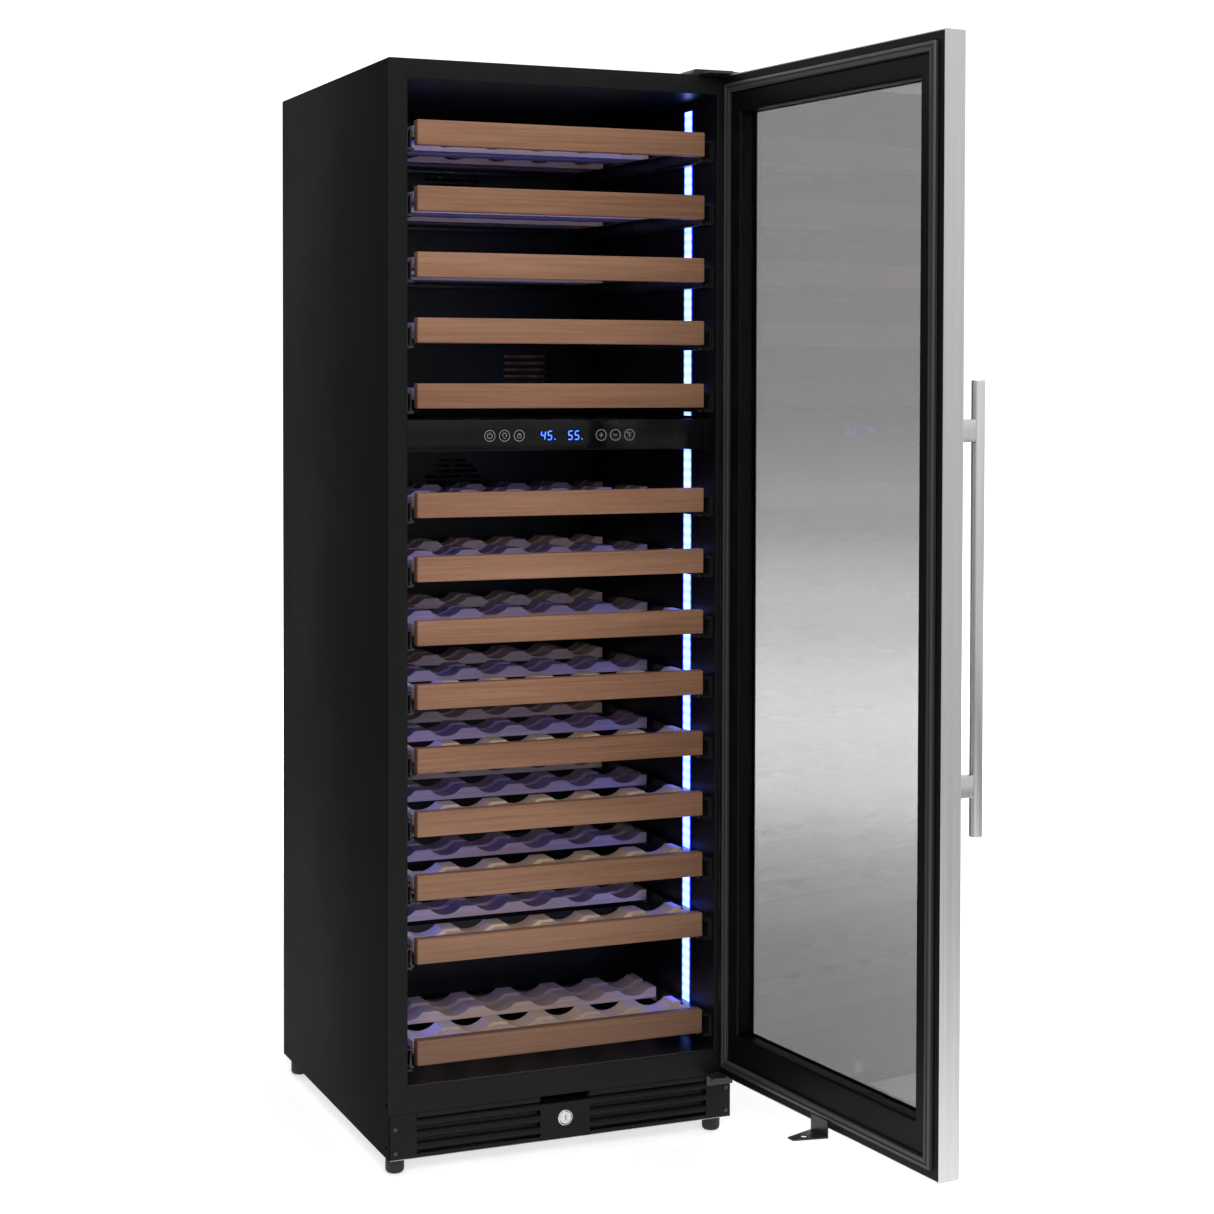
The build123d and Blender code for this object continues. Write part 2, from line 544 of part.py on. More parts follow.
handle_x = HANDLE_INSET - HALF
handle_y = DOOR_OUTER - HANDLE_REACH
grip = rod(HANDLE_RADIUS, (handle_x, handle_y, HANDLE_SPAN[0]), HANDLE_SPAN[1] - HANDLE_SPAN[0])
save_on_door("handle_bar", [chamfer(grip.edges().filter_by(GeomType.CIRCLE), 0.8)])
POST_SIZE = (14.0, 33.0)
posts = []
for post_z in POST_HEIGHTS:
    post = block((handle_x - POST_SIZE[0] / 2, handle_x + POST_SIZE[0] / 2), (handle_y + 4, DOOR_OUTER),
                 (post_z - POST_SIZE[1] / 2, post_z + POST_SIZE[1] / 2))
    posts.append(post - rod(HANDLE_RADIUS, (handle_x, handle_y, post_z - 50), 100))
save_on_door("handle_posts", posts)

STRIKER = 2.0
STRIKER_BOTTOM = 92.0
STRIKER_LENGTH = 55.0
tab = block((-22.5, 22.5), (DOOR_INNER, DOOR_INNER + STRIKER), (STRIKER_BOTTOM, DOOR_BOTTOM + 12))
tongue_outline = Polyline(
    (-22.5, DOOR_INNER + STRIKER),
    (22.5, DOOR_INNER + STRIKER),
    (7.5, DOOR_INNER + STRIKER_LENGTH),
    (-7.5, DOOR_INNER + STRIKER_LENGTH),
    close=True,
)
tongue = Pos(0, 0, STRIKER_BOTTOM) * extrude(make_face(tongue_outline), STRIKER, dir=(0, 0, 1))
striker = tab + tongue - rod(5.5, (0, BOLT_Y, STRIKER_BOTTOM - 1), 4)
save_on_door("lock_striker", [striker])
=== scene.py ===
import json
import math

import bmesh
import bpy
from mathutils import Matrix, Vector


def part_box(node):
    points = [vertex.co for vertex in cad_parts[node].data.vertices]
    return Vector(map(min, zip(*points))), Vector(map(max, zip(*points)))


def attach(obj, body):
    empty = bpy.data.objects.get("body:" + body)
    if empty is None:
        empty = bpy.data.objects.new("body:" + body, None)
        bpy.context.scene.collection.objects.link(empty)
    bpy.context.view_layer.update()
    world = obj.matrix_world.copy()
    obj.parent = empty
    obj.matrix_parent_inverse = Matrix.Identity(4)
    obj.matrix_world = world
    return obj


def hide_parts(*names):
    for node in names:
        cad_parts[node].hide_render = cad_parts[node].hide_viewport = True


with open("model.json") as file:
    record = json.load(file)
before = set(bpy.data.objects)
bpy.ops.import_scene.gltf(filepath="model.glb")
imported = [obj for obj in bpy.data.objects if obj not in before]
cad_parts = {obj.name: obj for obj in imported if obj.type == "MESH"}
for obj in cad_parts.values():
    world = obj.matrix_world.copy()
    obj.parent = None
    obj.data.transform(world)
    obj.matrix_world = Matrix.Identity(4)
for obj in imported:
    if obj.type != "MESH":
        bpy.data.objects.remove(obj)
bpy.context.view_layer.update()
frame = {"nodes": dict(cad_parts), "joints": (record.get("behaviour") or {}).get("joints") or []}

# Camera: at eye height to the left of the open cabinet, looking slightly down at it. The frame is
# shifted down so that the upright edges stay nearly parallel.
camera_data = bpy.data.cameras.new("camera")
camera = bpy.data.objects.new("camera", camera_data)
bpy.context.collection.objects.link(camera)
bpy.context.scene.camera = camera
camera_data.sensor_width = 36.0
camera_data.lens = 68.23
camera_data.shift_x = 0.0177
camera_data.shift_y = -0.1396
camera.location = (-1.3898, -3.735, 1.2569)
heading, tilt, roll = math.radians(22.591), math.radians(-1.463), math.radians(0.109)
aim = Matrix.Rotation(-heading, 3, "Z") @ Matrix.Rotation(math.pi / 2 + tilt, 3, "X")
camera.rotation_euler = (aim @ Matrix.Rotation(roll, 3, "Z")).to_euler()

# Case wrap: two side panels and a top, folded from 1.5 mm steel sheet and powder coated satin black.
# The top is folded down over the sides, and the panels are screwed to the base.
case_low, case_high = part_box("outer_case")
half_width, case_top, case_bottom = case_high.x, case_high.z, case_low.z
back, sheet, sheet_edge = case_high.y, 0.0015, 0.0007


# Finishes are built as shader nodes. A Wire is one socket, and arithmetic on it adds Math nodes.
class Wire:
    def __init__(self, finish, socket):
        self.finish, self.socket = finish, socket

    def maths(self, operation, first, second):
        return self.finish.node("ShaderNodeMath", {"operation": operation}, {0: first, 1: second})

    def __add__(self, other):
        return self.maths("ADD", self, other)

    def __sub__(self, other):
        return self.maths("SUBTRACT", self, other)

    def __mul__(self, other):
        return self.maths("MULTIPLY", self, other)

    __radd__ = __add__


class Finish:
    """One material: its nodes, its Principled shader and the place on the piece as a vector."""

    def __init__(self, name, **constants):
        self.material = bpy.data.materials.new(name)
        self.material.use_nodes = True
        self.tree = self.material.node_tree
        self.shader = self.tree.nodes["Principled BSDF"]
        for socket, value in constants.items():
            self.shader.inputs[socket.replace("_", " ")].default_value = value
        self.place = self.node("ShaderNodeTexCoord", output="Object")

    def node(self, kind, settings=None, inputs=None, output=0):
        made = self.tree.nodes.new(kind)
        for key, value in (settings or {}).items():
            if key == "stops":
                ramp = made.color_ramp.elements
                while len(ramp) < len(value):
                    ramp.new(1.0)
                for stop, (position, colour) in zip(ramp, value):
                    stop.position, stop.color = position, (*colour, 1.0)
            else:
                setattr(made, key, value)
        for key, value in (inputs or {}).items():
            if isinstance(value, Wire):
                self.tree.links.new(value.socket, made.inputs[key])
            else:
                made.inputs[key].default_value = value
        return Wire(self, made.outputs[output])

    def feed(self, **sockets):
        for name, wire in sockets.items():
            self.tree.links.new(wire.socket, self.shader.inputs[name.replace("_", " ")])

    def stretched(self, scale):
        """The place on the piece, scaled along each axis."""
        return self.node("ShaderNodeMapping", {}, {"Vector": self.place, "Scale": scale})

    def noise(self, vector, scale, detail=3.0, roughness=0.5):
        sizes = {"Vector": vector, "Scale": scale, "Detail": detail, "Roughness": roughness}
        return self.node("ShaderNodeTexNoise", {}, sizes, "Fac")

    def ramp(self, factor, *stops):
        return self.node("ShaderNodeValToRGB", {"stops": stops}, {"Fac": factor}, "Color")

    def between(self, factor, first, second):
        blend = {"data_type": "RGBA"}
        return self.node("ShaderNodeMix", blend, {0: factor, 6: (*first, 1), 7: (*second, 1)}, 2)

    def span(self, value, low, high, out_low, out_high):
        limits = {"Value": value, "From Min": low, "From Max": high, "To Min": out_low, "To Max": out_high}
        return self.node("ShaderNodeMapRange", {}, limits)

    def bump(self, height, strength, distance):
        return self.node("ShaderNodeBump", {}, {"Height": height, "Strength": strength, "Distance": distance})


def powder_coat(name, colour, roughness=0.5, grit=1400.0, level=0.25):
    """Baked powder coat: a fine orange peel with a slightly uneven sheen."""
    finish = Finish(name, Roughness=roughness, Specular_IOR_Level=level)
    peel = finish.noise(finish.place, grit, 2.0)
    drift = finish.noise(finish.place, 5.0, 4.0)
    darker = tuple(channel * 0.82 for channel in colour)
    finish.feed(
        Base_Color=finish.between(peel * 0.5 + drift * 0.5, darker, colour),
        Roughness=finish.span(drift + peel, 0.6, 1.4, roughness - 0.06, roughness + 0.06),
        Normal=finish.bump(peel, 0.25, 0.0002),
    )
    return finish


# Meshes are worked up in a Stock, which gathers sheet, bar and turned shapes into one piece.
class Stock:
    def __init__(self):
        self.bm = bmesh.new()

    def bar(self, low, high, edge=0.0008, steps=2):
        """A bar between two corners with its edges rounded."""
        low, high = Vector(low), Vector(high)
        made = bmesh.ops.create_cube(self.bm, size=1.0)["verts"]
        for vert in made:
            vert.co = (low + high) / 2 + Vector(a * b for a, b in zip(vert.co, high - low))
        edges = list({e for vert in made for e in vert.link_edges})
        radius = min(edge, 0.45 * min(high - low))
        bmesh.ops.bevel(self.bm, geom=edges, offset=radius, segments=steps, profile=0.5, affect="EDGES")

    def shell(self, rings, ends=True, loop=False):
        """Joins rings of points, each closed, into one skin, with flat ends or back to its start."""
        rows = [[self.bm.verts.new(point) for point in ring] for ring in rings]
        count = len(rows[0])
        pairs = list(zip(rows, rows[1:])) + ([(rows[-1], rows[0])] if loop else [])
        for one, two in pairs:
            for i in range(count):
                j = (i + 1) % count
                self.bm.faces.new((one[i], one[j], two[j], two[i]))
        if ends and not loop:
            self.bm.faces.new(rows[0])
            self.bm.faces.new(rows[-1])

    def turned(self, centre, axis, profile, steps=40):
        """A turned part: (distance along the axis, radius) pairs from one flat end to the other."""
        aim = Vector(axis).to_track_quat("Z", "Y").to_matrix()
        turns = [2 * math.pi * i / steps for i in range(steps)]
        circle = [(math.cos(a), math.sin(a)) for a in turns]
        rings = [
            [Vector(centre) + aim @ Vector((c * radius, s * radius, along)) for c, s in circle]
            for along, radius in profile
        ]
        self.shell(rings)

    def pressed(self, outline, low, high, axis="y"):
        """An outline of (first, second) pairs, drawn across the other two axes, pushed along one."""
        place = {"x": lambda a, b, c: (c, a, b), "y": lambda a, b, c: (a, c, b)}
        self.shell([[place[axis](a, b, c) for a, b in outline] for c in (low, high)])

    def border(self, half, z, profile):
        """A profile carried round an upright rectangle with mitred corners. Each point of the profile
        gives its distance in from the side, the top and the bottom, and its y."""
        corners = []
        for x_sign, at_top in ((-1, False), (1, False), (1, True), (-1, True)):
            ring = []
            for side, top, bottom, y in profile:
                height = z[1] - top if at_top else z[0] + bottom
                ring.append((x_sign * (half - side), y, height))
            corners.append(ring)
        self.shell(corners, loop=True)

    def piece(self, name, body, finish, replaces=(), turn=None, smooth=35.0):
        bmesh.ops.recalc_face_normals(self.bm, faces=self.bm.faces)
        if turn is not None:
            bmesh.ops.transform(self.bm, matrix=turn, verts=self.bm.verts)
        mesh = bpy.data.meshes.new(name)
        self.bm.to_mesh(mesh)
        self.bm.free()
        mesh.shade_smooth()
        mesh.set_sharp_from_angle(angle=math.radians(smooth))
        mesh.materials.append(finish.material)
        made = bpy.data.objects.new(name, mesh)
        bpy.context.collection.objects.link(made)
        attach(made, body)
        if replaces:
            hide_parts(*replaces)


case_black = powder_coat("case_black", (0.0048, 0.0048, 0.0048), 0.6, level=0.014)
wrap = Stock()
for side in (-1, 1):
    inner, outer = sorted((side * half_width, side * (half_width - sheet)))
    wrap.bar((inner, case_low.y, case_bottom), (outer, back, case_top - sheet), sheet_edge)
wrap.bar((-half_width, case_low.y, case_top - sheet), (half_width, back, case_top), sheet_edge)
wrap.piece("case_wrap", "cabinet", case_black, ["outer_case"])

# Back and base: galvanised sheet with pressed stiffening beads, and a black louvred cover over the
# machine compartment, held by pan-head screws.


def dress(finish, *nodes):
    for node in nodes:
        materials = frame["nodes"][node].data.materials
        materials.clear()
        materials.append(finish.material)


zinc = Finish("galvanised_sheet", Metallic=1.0)
spangle = zinc.node("ShaderNodeTexVoronoi", {}, {"Vector": zinc.place, "Scale": 60.0}, "Distance")
cloud = zinc.noise(zinc.place, 7.0, 5.0)
flower = spangle * 0.6 + cloud * 0.5
zinc.feed(
    Base_Color=zinc.ramp(flower, (0.25, (0.28, 0.29, 0.3)), (0.75, (0.5, 0.51, 0.53))),
    Roughness=zinc.span(cloud + spangle, 0.3, 1.2, 0.34, 0.55),
    Normal=zinc.bump(spangle, 0.12, 0.0004),
)
rear_low, rear_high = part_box("back_panel")
rear = Stock()
rear.bar(rear_low, rear_high, 0.0005)
bead_reach, bead_rise, bead_half, bead_length, bead_pitch = 0.19, 0.001, 0.008, 0.26, 0.34
for row in range(4):
    bead_low = rear_low.z + 0.12 + row * bead_pitch
    bead_high = bead_low + bead_length
    for x in (-bead_reach, bead_reach):
        corner = (x + bead_half, rear_high.y + bead_rise, bead_high)
        rear.bar((x - bead_half, rear_high.y - 0.0004, bead_low), corner, 0.006, 4)
rear.piece("rear_sheet", "cabinet", zinc, ["back_panel"], smooth=50)
dress(zinc, "base_pan")
dress(case_black, "rear_service_cover")

# Screws: blackened steel pan heads at the plinth's corners, the lower hinge plate, the sides and round
# the back. They hold the sheets to the base and to each other.
blackened = powder_coat("blackened_steel", (0.02, 0.02, 0.021), 0.34, 900.0, 0.5)
dress(blackened, "screws")

# Insulation: rigid foam, poured between the case and the liner, where it sets and bonds the two
# together. It is out of sight once the case is closed.
foam = Finish("rigid_foam", Roughness=0.9)
cells = foam.node("ShaderNodeTexVoronoi", {}, {"Vector": foam.place, "Scale": 700.0}, "Distance")
froth = cells + foam.noise(foam.place, 12.0) * 0.4
foam.feed(
    Base_Color=foam.ramp(froth, (0.2, (0.52, 0.4, 0.16)), (0.9, (0.8, 0.68, 0.36))),
    Normal=foam.bump(cells, 0.5, 0.0008),
)
dress(foam, "insulation_foam")

# Face frame: black steel with an upright hairline, welded at the corners, its outer edges rolled. It
# closes the gap between the case and the liner, and the door's gasket lands on it.
face_low, face_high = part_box("face_frame")
front = face_low.y
stile, head, sill, lip, strip = 0.03, 0.031, 0.042, 0.0012, 0.002


def hairline(name, colour, roughness, bite, metallic=0.0, level=0.5):
    """Brushed metal: long upright scratches, in the colour, the sheen and the relief."""
    finish = Finish(name, Metallic=metallic, Specular_IOR_Level=level)
    fine = (2600.0, 2600.0, 6.0)
    broad = tuple(scale / 8 for scale in fine)
    scratch = finish.noise(finish.stretched(fine), 1.0, 2.0)
    band = finish.noise(finish.stretched(broad), 1.0, 3.0)
    grain = scratch * 0.6 + band * 0.4
    low, high = (tuple(channel * factor for channel in colour) for factor in (1 - bite, 1 + bite * 0.6))
    finish.feed(
        Base_Color=finish.ramp(grain, (0.3, low), (0.7, high)),
        Roughness=finish.span(grain, 0.3, 0.7, roughness - 0.07, roughness + 0.09),
        Normal=finish.bump(scratch, 0.16, 0.0001),
    )
    return finish


frame_black = hairline("frame_black", (0.008, 0.008, 0.008), 0.5, 0.35, level=0.1)
surround = Stock()
surround.border(
    half_width,
    (face_low.z, face_high.z),
    [
        (0, 0, 0, front + strip),
        (0, 0, 0, front + lip),
        (lip * 0.3, lip * 0.3, lip * 0.3, front + lip * 0.3),
        (lip, lip, lip, front),
        (stile - lip, head - lip, sill - lip, front),
        (stile, head, sill, front + lip),
        (stile, head, sill, front + strip),
    ],
)
surround.piece("face_surround", "cabinet", frame_black, ["face_frame"])

# Inner liner, zone divider and air ducts: black moulded plastic with a faint eggshell grain. The
# liner is one formed box, and the divider and the duct covers are fitted into it.
liner_black = powder_coat("liner_black", (0.004, 0.004, 0.0045), 0.34, 700.0, 0.35)
dress(liner_black, "inner_liner", "zone_divider", "air_duct_covers")

# Light bars: a frosted lens let into each side wall in both zones, over a strip of blue lamps. The
# lens is extruded plastic and snaps into a groove of the liner.
lens = Finish("blue_lens", Roughness=0.35, Emission_Strength=4.5)
spacing = 0.016
lens_place = lens.node("ShaderNodeSeparateXYZ", {}, {"Vector": lens.place}, "Z")
lens_depth = lens.node("ShaderNodeSeparateXYZ", {}, {"Vector": lens.place}, "Y")
light_low, light_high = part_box("light_bars")
lens_middle = (light_low.y + light_high.y) / 2
lamp = lens.node("ShaderNodeMath", {"operation": "PINGPONG"}, {0: lens_place, 1: spacing / 2}) * (2 / spacing)
off_line = lens.node("ShaderNodeMath", {"operation": "ABSOLUTE"}, {0: lens_depth - lens_middle})
core = lens.span(off_line, 0.0125, 0.016, 1.0, 0.25)
glow = core * (0.75 + lamp * 0.25)
dim_blue, deep_blue, pale_blue = (0.0, 0.004, 0.4), (0.0, 0.02, 1.0), (0.22, 0.34, 0.6)
lens.feed(
    Emission_Color=lens.ramp(glow, (0.0, dim_blue), (0.5, deep_blue), (1.0, pale_blue)),
    Base_Color=lens.ramp(glow, (0.0, (0.02, 0.03, 0.3)), (1.0, (0.5, 0.6, 0.9))),
)
panel_low, panel_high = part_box("control_panel")
panel_gap, wall_face = 0.004, 0.2668
zones = {"lower": (light_low.z, panel_low.z - panel_gap), "upper": (panel_high.z + panel_gap, light_high.z)}
for zone, (bottom, top) in zones.items():
    for side, label in ((-1, "left"), (1, "right")):
        bar = Stock()
        near, far = sorted((side * wall_face, side * light_high.x))
        bar.bar((near, light_low.y, bottom), (far, light_high.y, top), 0.0006)
        bar.piece(f"light_bar_{zone}_{label}", "cabinet", lens,
                  ["light_bars"] if (zone, label) == ("lower", "left") else ())

# Control panel: one strip of black glass across the divider, with printed touch symbols and a
# blue two-zone temperature display behind it.
gloss_black = Finish("panel_glass", Roughness=0.08, Specular_IOR_Level=0.15)
smear = gloss_black.noise(gloss_black.place, 14.0, 5.0)
gloss_black.feed(
    Base_Color=gloss_black.ramp(smear, (0.3, (0.0025, 0.0025, 0.003)), (0.8, (0.005, 0.005, 0.006))),
    Roughness=gloss_black.span(smear, 0.3, 0.8, 0.05, 0.16),
)
fascia = Stock()
fascia.bar(panel_low, panel_high, 0.0015, 3)
fascia.piece("panel_fascia", "cabinet", gloss_black, ["control_panel"])
ink_y, ink_rise = panel_low.y, 0.00025


def flat_line(stock, points, width, closed=False):
    """A printed line through (x, z) points, standing just proud of the glass."""
    count = len(points)
    edges = []
    for i, point in enumerate(points):
        before = points[i - 1] if closed or i else point
        after = points[(i + 1) % count] if closed or i < count - 1 else point
        run = (Vector(after) - Vector(before)).normalized() * (width / 2)
        edges.append([(point[0] - run.y, point[1] + run.x), (point[0] + run.y, point[1] - run.x)])
    rings = [[(x, y, z) for y in (ink_y, ink_y - ink_rise) for x, z in (pair if y == ink_y else pair[::-1])]
             for pair in edges]
    stock.shell(rings, loop=closed)


def arc(centre, radius, start, sweep, steps=24):
    turns = [math.radians(start + sweep * i / steps) for i in range(steps + (0 if abs(sweep) == 360 else 1))]
    return [(centre[0] + radius * math.cos(a), centre[1] + radius * math.sin(a)) for a in turns]


symbols = Stock()
symbol_z, ring_radius, stroke = 1.166, 0.0088, 0.0007
signs = {
    -0.128: [arc((0, 0), 0.0042, 125, 290), [(0, 0.001), (0, 0.0055)]],
    -0.103: [arc((0, 0.0008), 0.0034, -50, 280), [(-0.002, -0.004), (0.002, -0.004)]],
    -0.078: [[(-0.0032, -0.0035), (-0.0032, 0.001), (0.0032, 0.001), (0.0032, -0.0035), (-0.0032, -0.0035)],
             arc((0, 0.001), 0.0022, 0, 180, 10)],
    0.064: [[(-0.004, 0), (0.004, 0)], [(0, -0.004), (0, 0.004)]],
    0.089: [[(-0.004, 0), (0.004, 0)]],
    0.114: [arc((-0.0032, 0.0035), 0.001, 0, 360, 10),
            [(0.0032, 0.0034), (-0.0002, 0.0034), (-0.0002, -0.004)],
            [(-0.0002, -0.0002), (0.0026, -0.0002)]],
}
for x, strokes in signs.items():
    flat_line(symbols, arc((x, symbol_z), ring_radius, 0, 360, 40), stroke, True)
    for points in strokes:
        flat_line(symbols, [(x + dx, symbol_z + dz) for dx, dz in points], stroke)
# The printed ink is given a faint emission: a painted glow that lifts the symbols off the black glass.
print_grey_painted_glow = Finish("panel_print_painted_glow", Roughness=0.5, Emission_Strength=0.12)
wear = print_grey_painted_glow.noise(print_grey_painted_glow.place, 400.0)
print_grey_painted_glow.feed(
    Base_Color=print_grey_painted_glow.ramp(wear, (0.3, (0.2, 0.2, 0.21)), (0.7, (0.3, 0.3, 0.31))),
    Emission_Color=print_grey_painted_glow.ramp(wear, (0.3, (0.5, 0.5, 0.55)), (0.7, (0.7, 0.7, 0.75))),
)
symbols.piece("panel_symbols", "cabinet", print_grey_painted_glow)

digits = Stock()
digit_height, digit_width, digit_pitch, lean, trim = 0.0135, 0.0066, 0.0115, 0.12, 0.09
segments = {
    "a": ((0, 1), (1, 1)), "b": ((1, 1), (1, 0.5)), "c": ((1, 0.5), (1, 0)), "d": ((0, 0), (1, 0)),
    "e": ((0, 0.5), (0, 0)), "f": ((0, 1), (0, 0.5)), "g": ((0, 0.5), (1, 0.5)),
}
lit = {"4": "bcfg", "5": "acdfg"}
for left, text in ((-0.041, "45"), (0.006, "55")):
    for place, digit in enumerate(text):
        for name in lit[digit]:
            (x0, z0), (x1, z1) = segments[name]
            x_start = left + place * digit_pitch
            span = []
            for t in (trim, 1 - trim):
                u, v = x0 + (x1 - x0) * t, z0 + (z1 - z0) * t
                x = x_start + u * digit_width + v * digit_height * lean
                span.append((x, symbol_z + (v - 0.5) * digit_height))
            flat_line(digits, span, 0.0013)
    digits.turned((left + 0.0245, ink_y, symbol_z - 0.006), (0, -1, 0), [(0, 0.0009), (ink_rise, 0.0008)], 12)
display_blue = Finish("display_blue", Roughness=0.5, Emission_Strength=5.0)
flicker = display_blue.noise(display_blue.place, 300.0)
display_blue.feed(
    Emission_Color=display_blue.ramp(flicker, (0.3, (0.02, 0.09, 1.0)), (0.7, (0.06, 0.18, 1.0))),
    Base_Color=display_blue.ramp(flicker, (0.3, (0.01, 0.03, 0.3)), (0.7, (0.02, 0.06, 0.4))),
)
digits.piece("panel_digits", "cabinet", display_blue)

# Shelves: a beech front board on a black steel tray, with beech cross slats hollowed for bottles.
# Each tray rides on ball-bearing slides whose middle member travels half as far.
board_height, board_half, board_thick = 0.0395, 0.2485, 0.020


def timber(name, dark, light, sheen, painted_low_shade=1.0):
    """Oiled beech, sawn along X: straight grain, short pores, a tint that differs from board to board, and
    painted shade that darkens the lower boards.
    """
    finish = Finish(name, Specular_IOR_Level=0.35)
    sway = finish.noise(finish.stretched((1.6, 8.0, 8.0)), 1.0, 2.0)
    grain = finish.noise(finish.stretched((5.0, 260.0, 260.0)), 1.0, 5.0, 0.6)
    pores = finish.noise(finish.stretched((70.0, 1500.0, 1500.0)), 1.0, 2.0)
    board = finish.noise(finish.stretched((0.4, 0.4, 9.3)), 1.0, 0.0)
    tone = grain * 0.5 + sway * 0.3 + board * 0.45
    fleck = finish.span(pores, 0.6, 0.72, 0.0, 0.35)
    mid_tone = tuple((a + b) / 2 for a, b in zip(dark, light))
    shade = finish.ramp(tone, (0.42, dark), (0.62, mid_tone), (0.8, light))
    flecked = finish.node(
        "ShaderNodeMix", {"data_type": "RGBA"}, {0: fleck, 6: shade, 7: (*[c * 0.45 for c in dark], 1)}, 2
    )
    # Painted shade: the colour is multiplied down towards the bottom of the cabinet, as if less light reached
    # the lower boards.
    height = finish.node("ShaderNodeSeparateXYZ", {}, {"Vector": finish.place}, "Z")
    board_with_painted_shade = finish.node(
        "ShaderNodeMix",
        {"data_type": "RGBA", "blend_type": "MULTIPLY"},
        {0: 1.0, 6: flecked, 7: finish.span(height, 0.2, 0.75, painted_low_shade, 1.0)},
        2,
    )
    finish.feed(
        Base_Color=board_with_painted_shade,
        Roughness=finish.span(grain, 0.3, 0.7, sheen - 0.06, sheen + 0.1),
        Normal=finish.bump(grain * 0.7 - fleck, 0.2, 0.0002),
    )
    return finish


# The front boards carry painted shade: the lowest are darkened to 0.62 of their colour.
front_beech = timber("front_beech", (0.135, 0.06, 0.031), (0.31, 0.165, 0.1), 0.5, 0.62)
slat_beech = timber("slat_beech", (0.42, 0.29, 0.18), (0.66, 0.51, 0.36), 0.62)
slide_black = powder_coat("slide_black", (0.012, 0.012, 0.013), 0.3, 800.0, 0.6)


def slide_member(stock, side, web, reach, z, y, thick=0.0013):
    """A rolled C-section from its web at x towards the reach, with its lips turned in."""
    hook = math.copysign(thick, reach)
    z0, z1 = z
    lip_in = 0.003
    outline = [
        (web, z0), (web + reach, z0), (web + reach, z0 + lip_in), (web + reach - hook, z0 + lip_in),
        (web + reach - hook, z0 + thick), (web + hook, z0 + thick), (web + hook, z1 - thick),
        (web + reach - hook, z1 - thick), (web + reach - hook, z1 - lip_in), (web + reach, z1 - lip_in),
        (web + reach, z1), (web, z1),
    ]
    stock.pressed([(side * x, height) for x, height in outline], *y)


shelf_names = sorted(name for name in frame["nodes"] if name.startswith("shelf_"))
slat_rows = {
    "full": (-0.262, -0.205, -0.062, -0.005, 0.138, 0.195),
    "short": (-0.262, -0.205, -0.104, -0.047),
}
scallops, hollow, hollow_depth = 6, 0.039, 0.012
slat_half, slat_deep, slat_tall, deck = 0.247, 0.040, 0.018, 0.014
rail, rail_back, ledge, rail_low, slide_high, tray_sheet = 0.2515, 0.253, 0.236, 0.0038, 0.0228, 0.0015
rivet = [(0, 0.004), (0.0008, 0.0036), (0.0013, 0.002)]
ball = [(-0.0018, 0.0006), (-0.001, 0.0016), (0.001, 0.0016), (0.0018, 0.0006)]
for name in shelf_names:
    low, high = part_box(name)
    top, board_front = high.z, low.y
    base = top - board_height
    kind = "short" if high.y < 0.1 else "full"
    label = name[-2:]

    board = Stock()
    board.bar((-board_half, board_front, base), (board_half, board_front + board_thick, top), 0.002, 3)
    board.piece(f"front_board_{label}", name, front_beech, [name])

    slats = Stock()
    slat_top = base + deck + slat_tall
    pitch = 2 * slat_half / scallops
    reach = math.acos((hollow - hollow_depth) / hollow)
    outline = [(-slat_half, base + deck), (slat_half, base + deck), (slat_half, slat_top)]
    for index in reversed(range(scallops)):
        middle = (index - (scallops - 1) / 2) * pitch
        for step in range(13):
            turn = reach - 2 * reach * step / 12
            height = slat_top - hollow_depth + hollow * (1 - math.cos(turn))
            outline.append((middle + hollow * math.sin(turn), height))
    outline.append((-slat_half, slat_top))
    for y in slat_rows[kind]:
        slats.pressed(outline, y - slat_deep / 2, y + slat_deep / 2)
    slats.piece(f"slats_{label}", name, slat_beech, smooth=25)

    tray = Stock()
    tray_front, tray_back = board_front + board_thick, high.y
    for side in (-1, 1):
        angle = [
            (rail, base - rail_low), (rail_back, base - rail_low), (rail_back, base + deck),
            (ledge, base + deck), (ledge, base + deck - tray_sheet), (rail, base + deck - tray_sheet),
        ]
        tray.pressed([(side * x, height) for x, height in angle], tray_front, tray_back)
        slide_z, slide_y = (base - rail_low, base + slide_high), (tray_front, tray_back - 0.026)
        slide_member(tray, side, rail_back + 0.0001, 0.0082, slide_z, slide_y)
        for y in slat_rows[kind]:
            tray.turned((side * rail, y, base + 0.005), (-side, 0, 0), rivet, 16)
        catch_low = (side * rail - 0.004, tray_front - 0.0005, base - 0.0085)
        tray.bar(catch_low, (side * rail + 0.004, tray_front + 0.022, base - rail_low), 0.0008)
    tray.bar((-ledge, tray_back - 0.006, base + 0.004), (ledge, tray_back, base + deck), 0.0008)
    tray.piece(f"tray_{label}", name, slide_black)

    if f"runner_{label}" in frame["nodes"]:
        runner_low, runner_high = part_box(f"runner_{label}")
        slide_z, slide_y = (runner_low.z, runner_high.z), (runner_low.y, runner_high.y)
        slide = Stock()
        for side in (-1, 1):
            slide_member(slide, side, runner_high.x, -0.0078, slide_z, slide_y)
            ball_x = side * (runner_high.x - 0.0055)
            for index in range(16):
                ball_y = runner_low.y + 0.03 + index * 0.012
                for z in (runner_low.z + 0.0035, runner_high.z - 0.0035):
                    slide.turned((ball_x, ball_y, z), (0, 0, 1), ball, 8)
        runner = f"runner_{label}"
        slide.piece(f"slide_middle_{label}", runner, slide_black, [runner])
dress(slide_black, "runner_channels")

